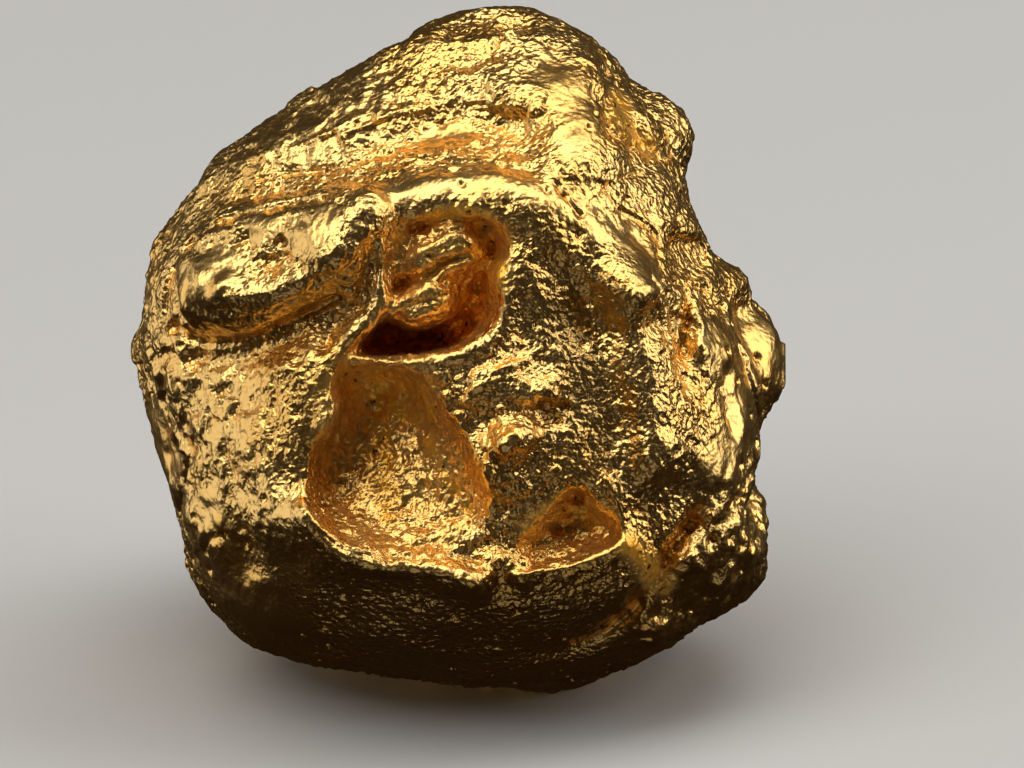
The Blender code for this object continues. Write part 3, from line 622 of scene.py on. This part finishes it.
def work_forms(skin):
    """The small named forms, from crisp hollows to beaded rims, and then the wear of thin edges."""
    for side, outline, depth, wall in CRISP_HOLLOWS:
        skin.hollow(side, outline, depth, wall)
    for side, path, radius, height in FORMS:
        skin.stroke(side, path, radius, height)
    beads = np.random.default_rng(BEAD_SEED)
    for path in BEAD_PATHS:
        for place in smooth_curve(path, BEAD_SPACING):
            middle = place + beads.normal(scale=BEAD_STRAY, size=2)
            radius = beads.uniform(*BEAD_RADIUS)
            skin.stroke(FACE, (middle,), radius, beads.uniform(*BEAD_HEIGHT), BEAD_HARDNESS)
    skin.refresh()
    skin.blunt(EDGE_STEPS, EDGE_LIMIT)
    skin.refresh()


def work_far_sides(skin):
    """Dents and creases scattered over the sides, the top and the back."""
    marks = np.random.default_rng(MARK_SEED)
    for _ in range(FAR_MARKS):
        side = (marks.uniform(*FAR_AZIMUTH), marks.uniform(*FAR_ELEVATION))
        start = marks.uniform(-FAR_REACH, FAR_REACH, size=2)
        heading = marks.uniform(0, 2 * math.pi)
        length = marks.uniform(*FAR_LENGTH)
        ahead = length * np.array((math.cos(heading), math.sin(heading)))
        bend = marks.normal(scale=FAR_BEND * length, size=2)
        path = (start, start + ahead / 2 + bend, start + ahead)
        radius, height = marks.uniform(*FAR_RADIUS), marks.uniform(*FAR_HEIGHT)
        if len(skin.dropped(side, path)):
            skin.stroke(side, path, radius, height)
    skin.refresh()


def fading(rest, mask):
    """A share that goes from 1 where the mask is 1 down to the rest where it is 0."""
    return rest + (1 - rest) * mask


def work_relief(skin, worn, hammered, calm):
    """The relief of unworn, hammered and drawn-out gold, pushed in and out along the skin's normals."""
    streaked = skin.weight_of(STREAKED)
    cavity = skin.weight_of(CAVITIES)
    points = skin.points
    bend = np.stack([noise(points / WARP_SIZE, WARP_SEED + axis) for axis in range(3)], axis=1)
    bent = points + bend * WARP_REACH
    fresh = 1 - worn
    lively = 1 - calm
    patch = np.clip(PATCH_MEAN + PATCH_SWING * noise(points / PATCH_SIZE, PATCH_SEED), *PATCH_LIMITS)

    rise = fractal(points / SWELL_SIZE, SWELL_SEED) * SWELL_HEIGHT * fading(CALM_SWELL, lively)
    facet_share = WORN_FACETS + FRESH_FACETS * fresh + HAMMERED_FACETS * hammered
    facet_share *= fading(CALM_FACETS, lively)
    rise += facets(bent / FACET_SIZE, FACET_SEED) * FACET_HEIGHT * facet_share
    chips = facets(bent / CHIP_SIZE, CHIP_SEED) * CHIP_HEIGHT
    rise += chips * fading(WORN_CHIPS, fresh) * patch * fading(CALM_CHIPS, lively)
    hackle_share = fresh * patch * (1 - STREAKED_LOSS * streaked) * fading(CALM_HACKLE, lively)
    rise += (crests(bent / HACKLE_SIZE, HACKLE_SEED) - 0.5) * HACKLE_HEIGHT * hackle_share

    dented = dents(bent / DENT_SIZE, DENT_SEED) ** 2
    rise -= dented * DENT_DEPTH * fading(UNHAMMERED_DENTS, hammered)
    pit_rim = 1 - (PIT_RADIUS / PIT_SPACING) ** 2
    pits = np.clip((dents(points / PIT_SPACING, PIT_SEED, PIT_SHARE) - pit_rim) / (1 - pit_rim), 0, 1)
    rise -= np.sqrt(pits) * PIT_DEPTH * (1 - CAVITY_LOSS * cavity)

    drawn = along(bent, STREAK_HEADING, *STREAK_SIZE)
    rise += (crests(drawn, STREAK_SEED) - 0.5) * STREAK_HEIGHT * streaked
    grown = along(bent, STRIA_HEADING, *STRIA_SIZE)
    rise += (crests(grown, STRIA_SEED) - 0.5) * STRIA_HEIGHT * cavity
    skin.points += rise[:, None] * skin.normals
    skin.refresh()


def work_skin(skin):
    """Works every form and the relief into the skin. Returns how smooth, sunk and filmed each point is."""
    work_forms(skin)
    work_far_sides(skin)
    broad = skin.bulge(BROAD_STEPS)
    worn = np.maximum(np.clip(broad / LUMP_RISE, 0, 1) * LUMP_WEAR, skin.weight_of(POLISHED))
    hammered, calm = skin.weight_of(HAMMERED), skin.weight_of(CALM)
    work_relief(skin, worn, hammered, calm)

    fine = skin.bulge(FINE_STEPS)
    cavity = skin.weight_of(CAVITIES)
    smooth = np.maximum(worn, np.maximum(hammered * HAMMERED_SMOOTHNESS, cavity * CAVITY_SMOOTHNESS))
    smooth += np.clip(fine / CREST_RISE, 0, 1) * CREST_SMOOTHNESS + calm * CALM_SMOOTHNESS
    # painted shade: broad hollows and fine creases get a deeper tint in the colour
    recess = np.clip(-broad / HOLLOW_DROP, 0, 1) * HOLLOW_RECESS
    recess += np.clip(-fine / CREST_RISE, 0, 1) * CREASE_RECESS
    film = np.maximum(skin.weight_of(FILMED), cavity * CAVITY_FILM)
    return {"smooth": smooth, "recess": recess, "film": film}


def finish_skin(skin, masks, to_part, box):
    """Thins the skin out to its triangles and puts it in its place in the part, inside the solid's box."""
    places = skin.points.copy()
    spare = skin.obj.vertex_groups.new(name="spare")
    facing = skin.normals @ side_axes(FACE)[2] > FRONT_LIMIT
    spare.add(np.flatnonzero(facing).tolist(), FRONT_THINNING, "REPLACE")
    spare.add(np.flatnonzero(~facing).tolist(), 1.0, "REPLACE")
    thinner = skin.obj.modifiers.new("thinner", "DECIMATE")
    thinner.vertex_group = spare.name
    thinner.ratio = SKIN_TRIANGLES / (2 * len(skin.points))
    skin.apply_modifiers()
    skin.obj.vertex_groups.clear()

    tree = KDTree(len(places))
    for i, place in enumerate(places):
        tree.insert(place, i)
    tree.balance()
    nearest = [tree.find(place)[1] for place in skin.points]
    mesh = skin.obj.data
    for name, values in masks.items():
        layer = mesh.attributes.new(name, "FLOAT", "POINT")
        layer.data.foreach_set("value", np.clip(values[nearest], 0, 1).astype(np.float32))

    mesh.transform(Matrix.Scale(MM, 4) @ to_part)
    points = np.empty(len(mesh.vertices) * 3, np.float32)
    mesh.vertices.foreach_get("co", points)
    inset = BOX_CLEARANCE * MM
    low, high = (np.array(corner) for corner in box)
    points = np.clip(points.reshape(-1, 3), low + (inset, inset, 0), high - inset)
    mesh.vertices.foreach_set("co", points.astype(np.float32).ravel())
    mesh.update()
    mesh.shade_smooth()


# ---------------------------------------------------------------- the finish

# Soft-edged patches in the gold: size in millimetres, layers of detail, how strong the finer layers are,
# the lowest and highest noise that they fade over, and what they fade from and to.
PATCHES = {
    "tints": (2.2, 3.0, 0.6, 0.45, 0.60, 0.0, 1.0),
    "film_patches": (0.30, 3.0, 0.6, 0.42, 0.58, 0.5, 1.0),
    "film_specks": (0.22, 3.0, 0.6, 0.62, 0.68, 0.0, 1.0),
    "crest_share": (0.70, 2.0, 0.5, 0.40, 0.62, 0.06, 0.26),
}

# The finest of the torn surface, in millimetres: sharp crests, and grain on them. Real ones are a few
# hundredths of a millimetre apart, too fine to show, so both are drawn as coarse as they need to be.
CREST_SIZE, GRAIN_SIZE = 0.21, 0.12
GRAIN_SHARE = 0.75  # how much the grain counts beside the crests, whose share comes and goes
TORN_RELIEF = 0.09  # the height of the two together
SMOOTH_RELIEF = 0.25  # what is left of it on smooth metal

# The roughness of torn and of smooth gold, and what recesses add to it.
TORN_ROUGHNESS, SMOOTH_ROUGHNESS, RECESS_ROUGHNESS = 0.30, 0.31, 0.05
FILM_SCATTER = 0.45  # how much less metallic the film is at its thickest


def linear(hex_colour):
    """A linear RGBA colour from an sRGB hex value."""
    parts = [int(hex_colour[i : i + 2], 16) / 255 for i in (1, 3, 5)]
    return (*((p / 12.92 if p <= 0.04045 else ((p + 0.055) / 1.055) ** 2.4) for p in parts), 1.0)


def add(tree, kind, settings, inputs):
    """A node with its settings. Its inputs take values, sockets, or nodes for their first outputs."""
    node = tree.nodes.new(kind)
    for name, value in settings.items():
        setattr(node, name, value)
    for key, value in inputs.items():
        if isinstance(value, bpy.types.Node):
            value = value.outputs[0]
        if isinstance(value, bpy.types.NodeSocket):
            tree.links.new(value, node.inputs[key])
        else:
            node.inputs[key].default_value = value
    return node


def native_gold():
    """Native gold, about 22 carat, as it was torn from quartz and then rolled in gravel.

    It is untarnished metal of a deep warm yellow. Fine crests and grain break its gleam up into glitter,
    and show less where the metal is smooth. Hollows and creases are painted a slightly darker, more orange
    tint: painted shade for the light that bounces in them several times. A film of iron oxide left in the
    deepest ones scatters part of the light, so that they glow amber and don't mirror.
    """
    material = bpy.data.materials.new("native_gold")
    material.use_nodes = True
    tree = material.node_tree
    tree.nodes.clear()
    place = add(tree, "ShaderNodeTexCoord", {}, {}).outputs["Object"]
    masks = {
        name: add(tree, "ShaderNodeAttribute", {"attribute_name": name}, {}).outputs["Fac"]
        for name in ("smooth", "recess", "film")
    }
    patches = {}
    for name, (size, detail, fineness, low, high, least, most) in PATCHES.items():
        cloud = add(
            tree,
            "ShaderNodeTexNoise",
            {},
            {"Vector": place, "Scale": 1 / (size * MM), "Detail": detail, "Roughness": fineness},
        )
        patches[name] = add(
            tree,
            "ShaderNodeMapRange",
            {"interpolation_type": "SMOOTHSTEP"},
            {"Value": cloud, "From Min": low, "From Max": high, "To Min": least, "To Max": most},
        )

    # The colour: two tints of gold, a deeper one in recesses and creases that is painted shade, then the
    # film and the dark specks in it.
    filmed = add(
        tree, "ShaderNodeMath", {"operation": "MULTIPLY"}, {0: patches["film_patches"], 1: masks["film"]}
    )
    specks = add(
        tree, "ShaderNodeMath", {"operation": "MULTIPLY"}, {0: patches["film_specks"], 1: masks["film"]}
    )
    colour = linear("#FFD07C")
    for share, tint in (
        (patches["tints"], "#FFC96E"),
        # painted shade: hollows and creases in a darker, more orange tint
        (masks["recess"], "#FDC972"),
        (filmed, "#F5AF36"),
        (specks, "#5A2E0C"),
    ):
        layer = add(tree, "ShaderNodeMix", {"data_type": "RGBA"}, {0: share, 6: colour, 7: linear(tint)})
        colour = layer.outputs[2]

    metallic = add(
        tree, "ShaderNodeMath", {"operation": "MULTIPLY_ADD"}, {0: filmed, 1: -FILM_SCATTER, 2: 1.0}
    )
    gleam = add(
        tree,
        "ShaderNodeMapRange",
        {},
        {"Value": masks["smooth"], "To Min": TORN_ROUGHNESS, "To Max": SMOOTH_ROUGHNESS},
    )
    roughness = add(
        tree,
        "ShaderNodeMath",
        {"operation": "MULTIPLY_ADD"},
        {0: masks["recess"], 1: RECESS_ROUGHNESS, 2: gleam},
    )

    # The torn surface: crests that come and go, with grain on them, fading on smooth metal.
    crest = add(
        tree,
        "ShaderNodeTexNoise",
        {"noise_type": "RIDGED_MULTIFRACTAL"},
        {
            "Vector": place,
            "Scale": 1 / (CREST_SIZE * MM),
            "Detail": 2.0,
            "Roughness": 0.5,
            "Offset": 0.9,
            "Gain": 1.6,
        },
    )
    grain = add(
        tree,
        "ShaderNodeTexNoise",
        {},
        {"Vector": place, "Scale": 1 / (GRAIN_SIZE * MM), "Detail": 1.0, "Roughness": 0.4},
    )
    crested = add(tree, "ShaderNodeMath", {"operation": "MULTIPLY"}, {0: crest, 1: patches["crest_share"]})
    height = add(
        tree, "ShaderNodeMath", {"operation": "MULTIPLY_ADD"}, {0: grain, 1: GRAIN_SHARE, 2: crested}
    )
    strength = add(
        tree,
        "ShaderNodeMapRange",
        {},
        {"Value": masks["smooth"], "To Min": 1.0, "To Max": SMOOTH_RELIEF},
    )
    bump = add(
        tree, "ShaderNodeBump", {}, {"Strength": strength, "Distance": TORN_RELIEF * MM, "Height": height}
    )

    gold = add(
        tree,
        "ShaderNodeBsdfPrincipled",
        {},
        {"Base Color": colour, "Metallic": metallic, "Roughness": roughness, "Normal": bump},
    )
    add(tree, "ShaderNodeOutputMaterial", {}, {"Surface": gold})
    return material


def painted_board():
    """Matt painted board: even, pale and without gloss."""
    material = bpy.data.materials.new("painted_board")
    material.use_nodes = True
    board = material.node_tree.nodes["Principled BSDF"]
    board.inputs["Base Color"].default_value = linear("#D9D7D2")
    board.inputs["Roughness"].default_value = BOARD_ROUGHNESS
    return material


# ---------------------------------------------------------------- the table, the lights and the camera

TABLE_WIDTH = 1.2  # metres
BOARD_ROUGHNESS = 0.8
ROOM_GLOW = (0.013, 0.008, 0.005, 1)  # linear

# The soft boxes: name, side, distance, width and height in metres, and power in watts. The long one runs
# over the nugget from its front left to its rear right. The left one reaches below the table's level and
# the weak front one stands below it, as they could around a narrow stand.
SOFT_BOXES = (
    ("overhead", (-60, 79), 0.18, 0.12, 0.40, 0.46),
    ("left", (-102, 5), 0.17, 0.16, 0.16, 0.092),
    ("right", (94, 26), 0.17, 0.12, 0.16, 0.150),
    ("front", (0, -26), 0.17, 0.11, 0.11, 0.013),
)


def lay_table():
    """The pale table top. It throws no shade, because two soft boxes reach below it.

    The metal doesn't mirror it, so that the nugget's lower parts stay as dark as on a narrow dark stand.
    """
    bpy.ops.mesh.primitive_plane_add(size=TABLE_WIDTH)
    table = bpy.context.object
    table.name = "table"
    table.data.materials.append(painted_board())
    table.visible_glossy = False
    table.visible_shadow = False


def hang_soft_boxes():
    """The soft boxes, each turned towards the nugget's middle, and the dim glow of the room."""
    for name, side, distance, width, height, power in SOFT_BOXES:
        lamp = bpy.data.lights.new(name, "AREA")
        lamp.shape = "RECTANGLE"
        lamp.size, lamp.size_y, lamp.energy = width, height, power
        light = bpy.data.objects.new(name, lamp)
        bpy.context.scene.collection.objects.link(light)
        aim = Vector(side_axes(side)[2])
        light.location = Vector(FACE_MIDDLE) * MM + aim * distance
        light.rotation_euler = aim.to_track_quat("Z", "Y").to_euler()
    room = bpy.data.worlds.new("dim_studio")
    room.use_nodes = True
    room.node_tree.nodes["Background"].inputs["Color"].default_value = ROOM_GLOW
    bpy.context.scene.world = room


def set_camera():
    """The camera, and how its picture is exposed."""
    right, up, toward = (Vector(axis) for axis in side_axes(CAMERA_SIDE))
    camera_data = bpy.data.cameras.new("camera")
    camera_data.sensor_width = SENSOR_WIDTH
    camera_data.lens = SENSOR_WIDTH * CAMERA_DISTANCE / VIEW_WIDTH
    camera_data.clip_start = CLIP_START
    camera = bpy.data.objects.new("camera", camera_data)
    bpy.context.scene.collection.objects.link(camera)
    target = Vector(FACE_MIDDLE) + right * AIM[0] + up * AIM[1]
    camera.location = (target + toward * CAMERA_DISTANCE) * MM
    camera.rotation_euler = toward.to_track_quat("Z", "Y").to_euler()
    bpy.context.scene.camera = camera
    bpy.context.scene.view_settings.view_transform = "Standard"
    bpy.context.scene.view_settings.exposure = EXPOSURE


# ---------------------------------------------------------------- making it

piece, to_part = lay_skin_over(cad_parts["nugget"])
skin = Skin(piece)
skin.apply_modifiers()
finish_skin(skin, work_skin(skin), to_part, cad_box)
piece.data.materials.append(native_gold())
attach(piece, "root")
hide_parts("nugget")

lay_table()
hang_soft_boxes()
set_camera()
